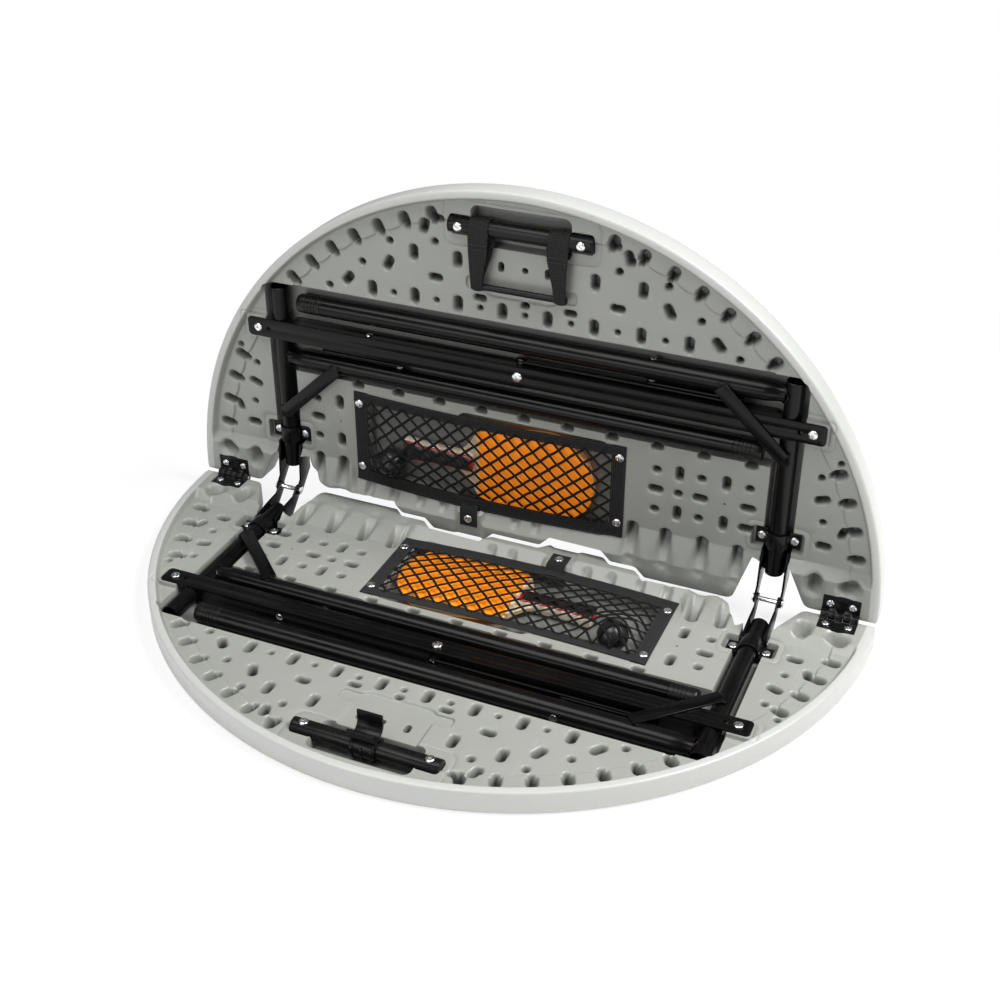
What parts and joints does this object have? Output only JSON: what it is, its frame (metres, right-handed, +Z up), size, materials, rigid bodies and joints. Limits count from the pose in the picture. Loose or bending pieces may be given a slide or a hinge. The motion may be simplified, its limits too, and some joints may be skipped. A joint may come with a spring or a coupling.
{
  "type": "folding table",
  "caption": "Round blow-moulded table that folds in half, with folding braced steel legs, mesh pockets holding bats and balls, a carry strap and a snap clip.",
  "frame": {"origin": "bottom centre of the half-open table's outline, on the floor", "axes": "+X along the fold line, +Y from the lying half towards the standing half, +Z up"},
  "size_m": [0.914, 0.49, 0.49],
  "materials": {
    "table_plastic": "satin",
    "black_steel": "satin",
    "zinc_steel": "polished",
    "black_plastic": "matte",
    "mesh_cord": "matte",
    "webbing": "matte",
    "plywood": "satin",
    "bat_rubber": "matte",
    "handle_wood": "gloss",
    "ball_plastic": "matte"
  },
  "bodies": {
    "lower_half": {"lower_tabletop": "table_plastic", "lower_crossbar": "black_steel", "lower_brace_pin": "zinc_steel", "lower_saddles": "black_steel", "lower_link_brackets": "black_steel", "lower_hinge_leaves": "black_plastic", "lower_grip_bar": "black_plastic", "lower_screws": "zinc_steel", "lower_mesh": "mesh_cord", "lower_pocket_border": "webbing", "lower_bat_blade": "plywood", "lower_bat_rubbers": "bat_rubber", "lower_bat_handle": "handle_wood", "lower_ball": "ball_plastic", "fold_pins": "zinc_steel"},
    "upper_half": {"upper_tabletop": "table_plastic", "upper_crossbar": "black_steel", "upper_brace_pin": "zinc_steel", "upper_saddles": "black_steel", "upper_link_brackets": "black_steel", "upper_hinge_leaves": "black_plastic", "upper_grip_bar": "black_plastic", "upper_screws": "zinc_steel", "upper_mesh": "mesh_cord", "upper_pocket_border": "webbing", "upper_bat_blade": "plywood", "upper_bat_rubbers": "bat_rubber", "upper_bat_handle": "handle_wood", "upper_ball": "ball_plastic"},
    "lower_left_leg": {"lower_left_rail": "black_steel", "lower_left_leg": "black_steel", "lower_left_gusset": "black_steel", "lower_left_foot": "black_plastic", "lower_left_leg_pin": "zinc_steel"},
    "lower_left_long_link": {"lower_left_long_link": "black_steel"},
    "lower_left_short_link": {"lower_left_short_link": "black_steel"},
    "lower_right_leg": {"lower_right_rail": "black_steel", "lower_right_leg": "black_steel", "lower_right_gusset": "black_steel", "lower_right_foot": "black_plastic", "lower_right_leg_pin": "zinc_steel"},
    "lower_right_long_link": {"lower_right_long_link": "black_steel"},
    "lower_right_short_link": {"lower_right_short_link": "black_steel"},
    "upper_left_leg": {"upper_left_rail": "black_steel", "upper_left_leg": "black_steel", "upper_left_gusset": "black_steel", "upper_left_foot": "black_plastic", "upper_left_leg_pin": "zinc_steel"},
    "upper_left_long_link": {"upper_left_long_link": "black_steel"},
    "upper_left_short_link": {"upper_left_short_link": "black_steel"},
    "upper_right_leg": {"upper_right_rail": "black_steel", "upper_right_leg": "black_steel", "upper_right_gusset": "black_steel", "upper_right_foot": "black_plastic", "upper_right_leg_pin": "zinc_steel"},
    "upper_right_long_link": {"upper_right_long_link": "black_steel"},
    "upper_right_short_link": {"upper_right_short_link": "black_steel"},
    "strap": {"grip_strap": "webbing", "grip_rod": "black_plastic"},
    "clip": {"snap_clip": "black_plastic"}
  },
  "joints": [
    {"name": "fold", "type": "hinge", "parent": "lower_half", "child": "upper_half", "pos_m": [0, 0.212, 0.033], "axis": [-1, 0, 0], "range_deg": [-90, 90]},
    {"name": "lower_left_leg_swing", "type": "hinge", "parent": "lower_half", "child": "lower_left_leg", "pos_m": [-0.3275, 0.022, 0.016], "axis": [0, -1, 0], "range_deg": [0, 90]},
    {"name": "lower_left_long_link_swing", "type": "hinge", "parent": "lower_half", "child": "lower_left_long_link", "pos_m": [0, -0.018, 0.0145], "axis": [0, 1, 0], "range_deg": [0, 27.07]},
    {"name": "lower_left_short_link_swing", "type": "hinge", "parent": "lower_left_leg", "child": "lower_left_short_link", "pos_m": [-0.1625, 0.022, 0.0145], "axis": [0, -1, 0], "range_deg": [0, 62.95]},
    {"name": "lower_right_leg_swing", "type": "hinge", "parent": "lower_half", "child": "lower_right_leg", "pos_m": [0.3275, -0.056, 0.016], "axis": [0, 1, 0], "range_deg": [0, 90]},
    {"name": "lower_right_long_link_swing", "type": "hinge", "parent": "lower_half", "child": "lower_right_long_link", "pos_m": [0, -0.018, 0.0145], "axis": [0, -1, 0], "range_deg": [0, 27.07]},
    {"name": "lower_right_short_link_swing", "type": "hinge", "parent": "lower_right_leg", "child": "lower_right_short_link", "pos_m": [0.1625, -0.056, 0.0145], "axis": [0, 1, 0], "range_deg": [0, 62.95]},
    {"name": "upper_left_leg_swing", "type": "hinge", "parent": "upper_half", "child": "upper_left_leg", "pos_m": [-0.3275, 0.229, 0.223], "axis": [0, 0, -1], "range_deg": [0, 90]},
    {"name": "upper_left_long_link_swing", "type": "hinge", "parent": "upper_half", "child": "upper_left_long_link", "pos_m": [0, 0.2305, 0.263], "axis": [0, 0, 1], "range_deg": [0, 27.07]},
    {"name": "upper_left_short_link_swing", "type": "hinge", "parent": "upper_left_leg", "child": "upper_left_short_link", "pos_m": [-0.1625, 0.2305, 0.223], "axis": [0, 0, -1], "range_deg": [0, 62.95]},
    {"name": "upper_right_leg_swing", "type": "hinge", "parent": "upper_half", "child": "upper_right_leg", "pos_m": [0.3275, 0.229, 0.301], "axis": [0, 0, 1], "range_deg": [0, 90]},
    {"name": "upper_right_long_link_swing", "type": "hinge", "parent": "upper_half", "child": "upper_right_long_link", "pos_m": [0, 0.2305, 0.263], "axis": [0, 0, -1], "range_deg": [0, 27.07]},
    {"name": "upper_right_short_link_swing", "type": "hinge", "parent": "upper_right_leg", "child": "upper_right_short_link", "pos_m": [0.1625, 0.2305, 0.301], "axis": [0, 0, 1], "range_deg": [0, 62.95]},
    {"name": "strap_swing", "type": "hinge", "parent": "upper_half", "child": "strap", "pos_m": [0, 0.225, 0.44], "axis": [-1, 0, 0], "range_deg": [0, 120]},
    {"name": "clip_turn", "type": "hinge", "parent": "lower_half", "child": "clip", "pos_m": [0, -0.195, 0.02], "axis": [1, 0, 0], "range_deg": [0, 40]}
  ],
  "couplings": [
    {"joint": "lower_left_long_link_swing", "follows": "lower_left_leg_swing", "ratio": 0.30061},
    {"joint": "lower_left_short_link_swing", "follows": "lower_left_leg_swing", "ratio": 0.69939},
    {"joint": "lower_right_long_link_swing", "follows": "lower_right_leg_swing", "ratio": 0.30061},
    {"joint": "lower_right_short_link_swing", "follows": "lower_right_leg_swing", "ratio": 0.69939},
    {"joint": "upper_left_long_link_swing", "follows": "upper_left_leg_swing", "ratio": 0.30061},
    {"joint": "upper_left_short_link_swing", "follows": "upper_left_leg_swing", "ratio": 0.69939},
    {"joint": "upper_right_long_link_swing", "follows": "upper_right_leg_swing", "ratio": 0.30061},
    {"joint": "upper_right_short_link_swing", "follows": "upper_right_leg_swing", "ratio": 0.69939}
  ]
}
